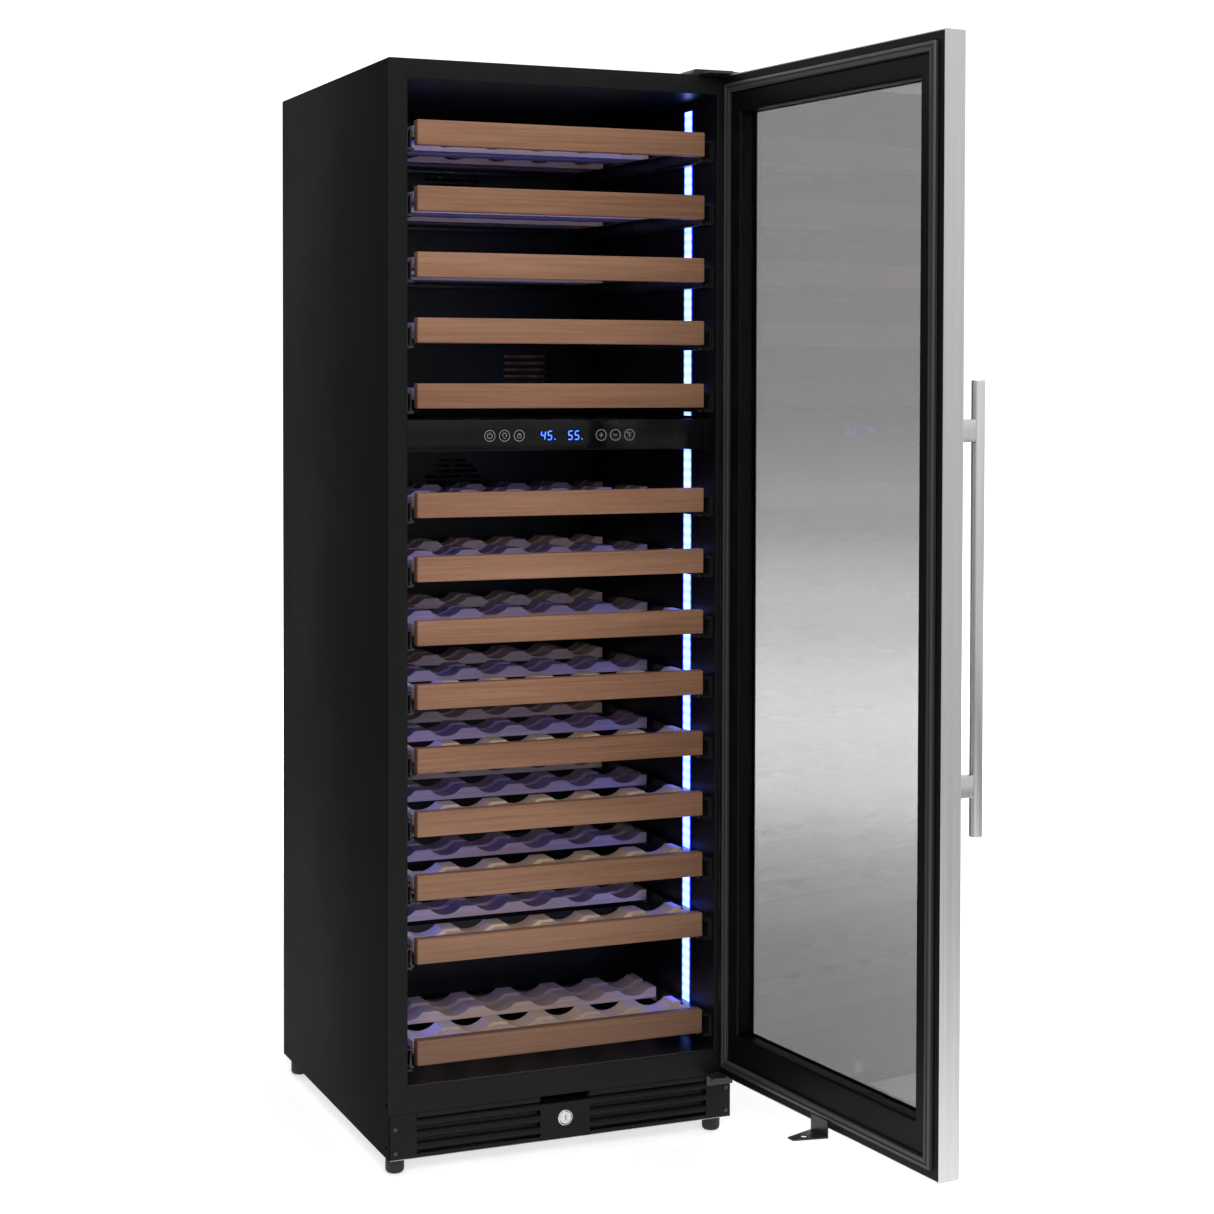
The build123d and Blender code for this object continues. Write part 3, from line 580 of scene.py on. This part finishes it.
# Fans, compressor and pipework: moulded rotors, a gloss black pot and copper tube, behind the
# duct covers and in the machine compartment.
rotor_black = powder_coat("rotor_black", (0.01, 0.01, 0.011), 0.4, 500.0, 0.4)
dress(rotor_black, "upper_fan", "lower_fan", "condenser_fan")
pot_black = powder_coat("pot_black", (0.008, 0.008, 0.008), 0.18, 300.0, 0.5)
dress(pot_black, "compressor")
copper = Finish("copper_tube", Metallic=1.0)
tarnish = copper.noise(copper.place, 45.0, 6.0)
copper.feed(
    Base_Color=copper.ramp(tarnish, (0.35, (0.28, 0.13, 0.07)), (0.65, (0.72, 0.36, 0.22))),
    Roughness=copper.span(tarnish, 0.3, 0.7, 0.28, 0.5),
    Normal=copper.bump(tarnish, 0.1, 0.0003),
)
dress(copper, "refrigerant_circuit")
inlet_black = powder_coat("inlet_black", (0.014, 0.014, 0.014), 0.6, 1000.0, 0.4)
dress(inlet_black, "power_inlet")

# Plinth: a black steel kick panel with three rolled louvres each side, and the lock plate between
# them. The slot above the plate takes the door's striker.
kick_black = powder_coat("kick_black", (0.0065, 0.0065, 0.0065), 0.45, 1200.0, 0.12)
kick_low, kick_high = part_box("kick_grille")
lock_half, louvre_end, louvre_low, louvre_high, plate = 0.043, 0.252, 0.036, 0.093, 0.003
plinth = Stock()
for side in (-1, 1):
    inner, outer = sorted((side * lock_half, side * louvre_end))
    cheek = sorted((side * louvre_end, side * kick_high.x))
    plinth.bar((cheek[0], front, kick_low.z), (cheek[1], front + plate, kick_high.z), 0.0008)
    plinth.bar((inner, front, louvre_high), (outer, front + plate, kick_high.z), 0.0008)
    plinth.bar((inner, front, kick_low.z), (outer, front + plate, louvre_low), 0.0008)
    plinth.bar((inner, front + 0.0085, louvre_low), (outer, front + 0.0095, louvre_high), 0.0002)
    for middle_z in (0.0455, 0.0645, 0.0835):
        turns = [math.radians(a) for a in range(-90, 91, 15)]
        curve = [(front + 0.007 - 0.007 * math.cos(a), middle_z + 0.0065 * math.sin(a)) for a in turns]
        plinth.pressed(curve, inner, outer, "x")
plinth.piece("kick_panel", "cabinet", kick_black, ["kick_grille"])
dress(kick_black, "lock_housing")

# Lock: a chromed barrel with a raised bezel, and a chromed bolt that rises into the striker. Both are
# turned parts, and they are held in the plinth's lock plate.
chrome = Finish("chrome_plate", Metallic=1.0)
haze = chrome.noise(chrome.place, 220.0, 3.0)
chrome.feed(
    Base_Color=chrome.ramp(haze, (0.3, (0.5, 0.5, 0.5)), (0.7, (0.72, 0.72, 0.72))),
    Roughness=chrome.span(haze, 0.3, 0.7, 0.1, 0.22),
)
dress(chrome, "lock_barrel", "lock_bolt")
barrel_low, barrel_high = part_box("lock_barrel")
lock_z = (barrel_low.z + barrel_high.z) / 2
bezel = Stock()
section = [(0.0107, 0.0), (0.0107, -0.0017), (0.0116, -0.0022), (0.0128, -0.0012), (0.0131, 0.0)]
circle = [2 * math.pi * i / 48 for i in range(48)]
rings = [[(r * math.cos(a), front + y, lock_z + r * math.sin(a)) for r, y in section] for a in circle]
bezel.shell(rings, loop=True)
bezel.piece("lock_bezel", "cabinet", chrome)

# Feet: black moulded pads on threaded stems that screw up into the base. They are turned by hand to
# level the cabinet.
rubber = powder_coat("foot_black", (0.009, 0.009, 0.009), 0.62, 900.0, 0.4)
feet = Stock()
foot_low, foot_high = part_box("levelling_feet")
foot_radius, stem_radius, pad_top = 0.015, 0.0085, 0.0242
pad = [
    (0, 0.0105), (0.0008, 0.0122), (0.0035, 0.0145), (0.006, foot_radius),
    (0.020, foot_radius), (0.022, 0.0145), (0.024, 0.0125), (pad_top, stem_radius),
]
thread = [(pad_top + i * 0.0005, stem_radius if i % 2 else 0.0078) for i in range(8)]
for x in (foot_low.x + foot_radius, foot_high.x - foot_radius):
    for y in (foot_low.y + foot_radius, foot_high.y - foot_radius):
        feet.turned((x, y, 0), (0, 0, 1), pad)
        feet.turned((x, y, 0), (0, 0, 1), [*thread, (foot_high.z, stem_radius)], 24)
feet.piece("feet", "cabinet", rubber, ["levelling_feet"])

# Hinges: black steel plates with a riveted pin, screwed to the case above and below the door. The
# upper one is under a moulded cover. The striker is a folded plate of the same steel.
dress(blackened, "hinge_brackets", "lock_striker")
cover_black = powder_coat("cover_black", (0.011, 0.011, 0.012), 0.5, 1100.0, 0.4)
dress(cover_black, "top_hinge_cover")

# Door: a stainless frame round a black core, with sealed glazing, a gasket and a bar handle. It is
# worked out closed, in front of the face frame, and swung open about its pivot.
hinge = next(joint for joint in frame["joints"] if joint["name"] == "door_hinge")
pivot = Vector(hinge["pos_m"])
opened = math.radians(-hinge["range_deg"][0])
swing = Matrix.Translation(pivot) @ Matrix.Rotation(opened, 4, "Z") @ Matrix.Translation(-pivot)
frame_low, frame_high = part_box("door_frame")
door_z = (frame_low.z, frame_high.z)
door_inner = front - 0.006
door_outer = door_inner - 0.038
insets = (0.057, 0.063, 0.077)


def inset(amount, y):
    return (amount, amount, amount, y)


# Outer skin: brushed stainless sheet folded round the edges of the door, with mitred corners. It
# wraps the core and is tucked over the core's rear edge.
steel_upright = hairline("stainless_upright", (0.62, 0.62, 0.61), 0.3, 0.14, 1.0)
skin, fold = 0.0015, 0.0022
corner = [
    inset(fold * (1 - math.sin(math.radians(a))), door_outer + fold * (1 - math.cos(math.radians(a))))
    for a in range(0, 91, 15)
]
outer_skin = Stock()
outer_skin.border(
    half_width,
    door_z,
    [
        (*insets, door_outer + skin),
        (*insets, door_outer + 0.0004),
        (insets[0] - 0.0004, insets[1] - 0.0004, insets[2] - 0.0004, door_outer),
        *corner,
        inset(0, door_inner - 0.0014),
        inset(0.0004, door_inner - 0.001),
        inset(skin, door_inner - 0.001),
        inset(skin, door_outer + skin),
    ],
)
outer_skin.piece("door_skin", "door", steel_upright, ["door_frame"], swing)

# Door core: a black moulding that fills the frame, holds the glass and carries the gasket's groove.
# A rounded lip runs round the window and keeps the inner pane in.
door_black = powder_coat("door_black", (0.0016, 0.0016, 0.0016), 0.42, 900.0, 0.1)
pane_back = door_inner - 0.022
glass_edge = tuple(value - 0.015 for value in insets)
core_skin = Stock()
core_skin.border(
    half_width,
    door_z,
    [
        inset(skin, door_outer + skin),
        inset(skin, door_inner - 0.0012),
        inset(skin + 0.0012, door_inner),
        inset(0.0135, door_inner),
        inset(0.0145, door_inner - 0.0012),
        inset(0.0305, door_inner - 0.0012),
        inset(0.0315, door_inner),
        *[
            (*[value - 0.0045 * (1 - math.sin(math.radians(a))) for value in insets],
             door_inner - 0.0045 * (1 - math.cos(math.radians(a))))
            for a in range(0, 91, 15)
        ],
        (*insets, pane_back),
        (*glass_edge, pane_back),
        (*glass_edge, door_outer + skin),
    ],
)
core_skin.piece("door_core", "door", door_black, ["door_liner"], swing)

# Glazing: two 4 mm tinted panes held 6.5 mm apart by a black spacer and sealed round their edges. The
# unit is bedded in the core.
tinted = Finish("tinted_glass", Transmission_Weight=1.0, IOR=1.3, Roughness=0.0)
streak = tinted.noise(tinted.stretched((3.0, 3.0, 0.6)), 1.0, 2.0)
tinted.feed(Base_Color=tinted.ramp(streak, (0.3, (0.466, 0.466, 0.466)), (0.7, (0.476, 0.476, 0.476))))
glass_half = half_width - glass_edge[0]
glass_z = (door_z[0] + glass_edge[2], door_z[1] - glass_edge[1])
pane = 0.004
for label, y0 in (("outer", door_outer + skin), ("inner", pane_back - pane)):
    glass = Stock()
    near, far = y0 + 0.00002, y0 + pane - 0.00002
    glass.bar((-glass_half, near, glass_z[0]), (glass_half, far, glass_z[1]), 0.0004, 1)
    stands_for = ["double_glazing"] if label == "outer" else ()
    glass.piece(f"pane_{label}", "door", tinted, stands_for, swing)
spacer = Stock()
spacer.border(
    glass_half,
    glass_z,
    [inset(0, door_outer + skin + pane), inset(0, pane_back - pane),
     inset(0.010, pane_back - pane), inset(0.010, door_outer + skin + pane)],
)
spacer.piece("glass_spacer", "door", door_black, (), swing)

# Gasket: a soft black magnetic seal with two ridges, pushed into the groove of the core. It is an
# extrusion, welded at the corners.
seal = powder_coat("gasket_grey", (0.022, 0.022, 0.022), 0.4, 600.0, 0.5)
gasket_inset, gasket_width, reach = 0.015, 0.015, front - 0.0003
bulb = [
    (0.0, door_inner), (0.0006, door_inner + 0.0012), (0.0, door_inner + 0.0026), (0.0004, reach - 0.0009),
    (0.0016, reach), (0.0052, reach), (0.0062, reach - 0.0022), (0.0088, reach - 0.0022), (0.0098, reach),
    (gasket_width - 0.0016, reach), (gasket_width - 0.0004, reach - 0.0009),
    (gasket_width, door_inner + 0.0026), (gasket_width - 0.0006, door_inner + 0.0012),
    (gasket_width, door_inner), (gasket_width - 0.004, door_inner - 0.001), (0.004, door_inner - 0.001),
]
gasket = Stock()
gasket.border(half_width - gasket_inset, (door_z[0] + gasket_inset, door_z[1] - gasket_inset),
              [inset(u, y) for u, y in bulb])
gasket.piece("gasket_seal", "door", seal, ["door_gasket"], swing, 60)

# Handle: a brushed stainless tube with domed caps on two square posts of the same steel, which are
# bolted from inside the door.
steel_bar = hairline("stainless_handle", (0.66, 0.66, 0.65), 0.24, 0.1, 1.0)
handle_x, handle_y = 0.032 - half_width, door_outer - 0.050
bar_low, bar_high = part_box("handle_bar")
radius, cap = 0.010, 0.0016
grip = Stock()
turns = [math.radians(a) for a in range(0, 91, 30)]
ends = [(bar_low.z + cap * (1 - math.cos(a)), radius - cap * (1 - math.sin(a))) for a in turns]
upper_ends = [(bar_low.z + bar_high.z - z, r) for z, r in reversed(ends)]
grip.turned((handle_x, handle_y, 0), (0, 0, 1), [*ends, *upper_ends], 48)
grip.piece("handle_tube", "door", steel_bar, ["handle_bar"], swing)
posts = Stock()
post_low, post_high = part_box("handle_posts")
post_half, post_tall, collar = 0.007, 0.033, 0.0015
for z in (post_low.z, post_high.z - post_tall):
    post_top = z + post_tall
    root = (handle_x + post_half, door_outer, post_top)
    posts.bar((handle_x - post_half, handle_y + 0.008, z), root, 0.0016, 3)
    posts.bar((handle_x - post_half - collar, door_outer - 0.0012, z - collar),
              (handle_x + post_half + collar, door_outer, post_top + collar), 0.0005)
posts.piece("handle_stems", "door", steel_bar, ["handle_posts"], swing)

# Studio: a pale floor that fades into a white surround, which is brightest low down, and soft lamps
# in front and overhead. Four blue lamps stand at the lenses and give their light.
floor_stock = Stock()
floor_radius, floor_rings, steps = 3.2, 24, 64
circle = [2 * math.pi * i / steps for i in range(steps)]
radii = [floor_radius * k / floor_rings for k in range(1, floor_rings + 1)]
floor_stock.shell([[(r * math.cos(a), r * math.sin(a), 0.0) for a in circle] for r in radii], ends=False)
floor_mesh = bpy.data.meshes.new("floor")
rim = [edge for edge in floor_stock.bm.edges if edge.is_boundary]
inner_rim = [edge for edge in rim if max(vert.co.length for vert in edge.verts) < floor_radius / 2]
bmesh.ops.contextual_create(floor_stock.bm, geom=inner_rim)
bmesh.ops.recalc_face_normals(floor_stock.bm, faces=floor_stock.bm.faces)
floor_stock.bm.to_mesh(floor_mesh)
floor_stock.bm.free()
floor_finish = Finish("pale_floor", Roughness=0.6, Specular_IOR_Level=0.2, Emission_Strength=0.5)
length = {"operation": "LENGTH"}
distance = floor_finish.node("ShaderNodeVectorMath", length, {0: floor_finish.place}, "Value")
speck = floor_finish.noise(floor_finish.place, 30.0)
floor_finish.feed(
    Base_Color=floor_finish.ramp(speck, (0.3, (0.86, 0.86, 0.86)), (0.7, (0.9, 0.9, 0.9))),
    Emission_Color=floor_finish.ramp(speck, (0.3, (0.97, 0.97, 0.97)), (0.7, (1.0, 1.0, 1.0))),
    Alpha=floor_finish.span(distance, 1.1, 3.0, 1.0, 0.0),
)
floor_mesh.materials.append(floor_finish.material)
floor = bpy.data.objects.new("floor", floor_mesh)
bpy.context.collection.objects.link(floor)
floor.location.z = -0.0005

world = bpy.data.worlds.new("studio")
bpy.context.scene.world = world
world.use_nodes = True
sky = world.node_tree


def sky_node(kind, inputs=None, **settings):
    made = sky.nodes.new(kind)
    for key, value in settings.items():
        setattr(made, key, value)
    for key, value in (inputs or {}).items():
        if isinstance(value, bpy.types.NodeSocket):
            sky.links.new(value, made.inputs[key])
        else:
            made.inputs[key].default_value = value
    return made


def sky_band(strength, *stops):
    """A white surround whose brightness changes with height."""
    ramp = sky_node("ShaderNodeValToRGB", {0: sky_height})
    ramp.color_ramp.interpolation = "EASE"
    while len(ramp.color_ramp.elements) < len(stops):
        ramp.color_ramp.elements.new(1.0)
    for stop, (position, value) in zip(ramp.color_ramp.elements, stops):
        stop.position, stop.color = position, (value, value, value, 1)
    return sky_node("ShaderNodeBackground", {"Color": ramp.outputs[0], "Strength": strength}).outputs[0]


view_line = sky_node("ShaderNodeTexCoord").outputs["Generated"]
sky_z = sky_node("ShaderNodeSeparateXYZ", {0: view_line}).outputs["Z"]
sky_height = sky_node("ShaderNodeMapRange", {"Value": sky_z, "From Min": -0.32, "From Max": 0.2}).outputs[0]
ray = sky_node("ShaderNodeLightPath").outputs
either = {0: ray["Is Camera Ray"], 1: ray["Is Transmission Ray"]}
seen_rays = sky_node("ShaderNodeMath", either, operation="MAXIMUM")
seen = sky_band(
    4.2, (0.06, 0.33), (0.18, 0.54), (0.34, 0.8), (0.43, 0.6), (0.5, 0.4), (0.6, 0.295), (1.0, 0.29)
)
mirrored = sky_band(
    1.0, (0.05, 0.25), (0.12, 0.35), (0.32, 0.9), (0.5, 0.72), (0.62, 0.7), (0.9, 1.0), (1.0, 1.0)
)
soft = sky_node("ShaderNodeBackground", {"Color": (1, 1, 1, 1), "Strength": 0.42}).outputs[0]
unseen = sky_node("ShaderNodeMixShader", {0: ray["Is Glossy Ray"], 1: soft, 2: mirrored}).outputs[0]
surround_light = sky_node("ShaderNodeMixShader", {0: seen_rays.outputs[0], 1: unseen, 2: seen}).outputs[0]
sky.links.new(surround_light, sky.nodes["World Output"].inputs["Surface"])


def softbox(name, place, aim, size, power):
    data = bpy.data.lights.new(name, "AREA")
    data.shape, data.size, data.size_y, data.energy = "RECTANGLE", size[0], size[1], power
    lamp_object = bpy.data.objects.new(name, data)
    lamp_object.location = place
    lamp_object.rotation_euler = (Vector(aim) - Vector(place)).to_track_quat("-Z", "Y").to_euler()
    bpy.context.collection.objects.link(lamp_object)
    return lamp_object


softbox("key", (-1.6, -4.2, 2.9), (0.0, -0.4, 0.9), (1.6, 1.6), 95.0).visible_glossy = False
softbox("fill", (1.9, -4.4, 1.6), (0.1, -0.4, 0.9), (1.2, 2.2), 45.0).visible_glossy = False
softbox("overhead", (0.2, -0.6, 4.2), (0.2, -0.6, 0.0), (3.0, 3.0), 70.0)
lens_width = light_high.y - light_low.y
for side in (-1, 1):
    for bottom, top in zones.values():
        centre_z = (bottom + top) / 2
        lamp_place, lamp_aim = (side * 0.2655, lens_middle, centre_z), (0, lens_middle, centre_z)
        lamp_size = (lens_width, top - bottom)
        strip_light = softbox(f"strip_{side}_{bottom:.2f}", lamp_place, lamp_aim, lamp_size, 1.5)
        strip_light.data.color = (0.005, 0.05, 1.0)
        strip_light.visible_camera = strip_light.visible_glossy = False
bpy.context.scene.view_settings.view_transform = "Standard"
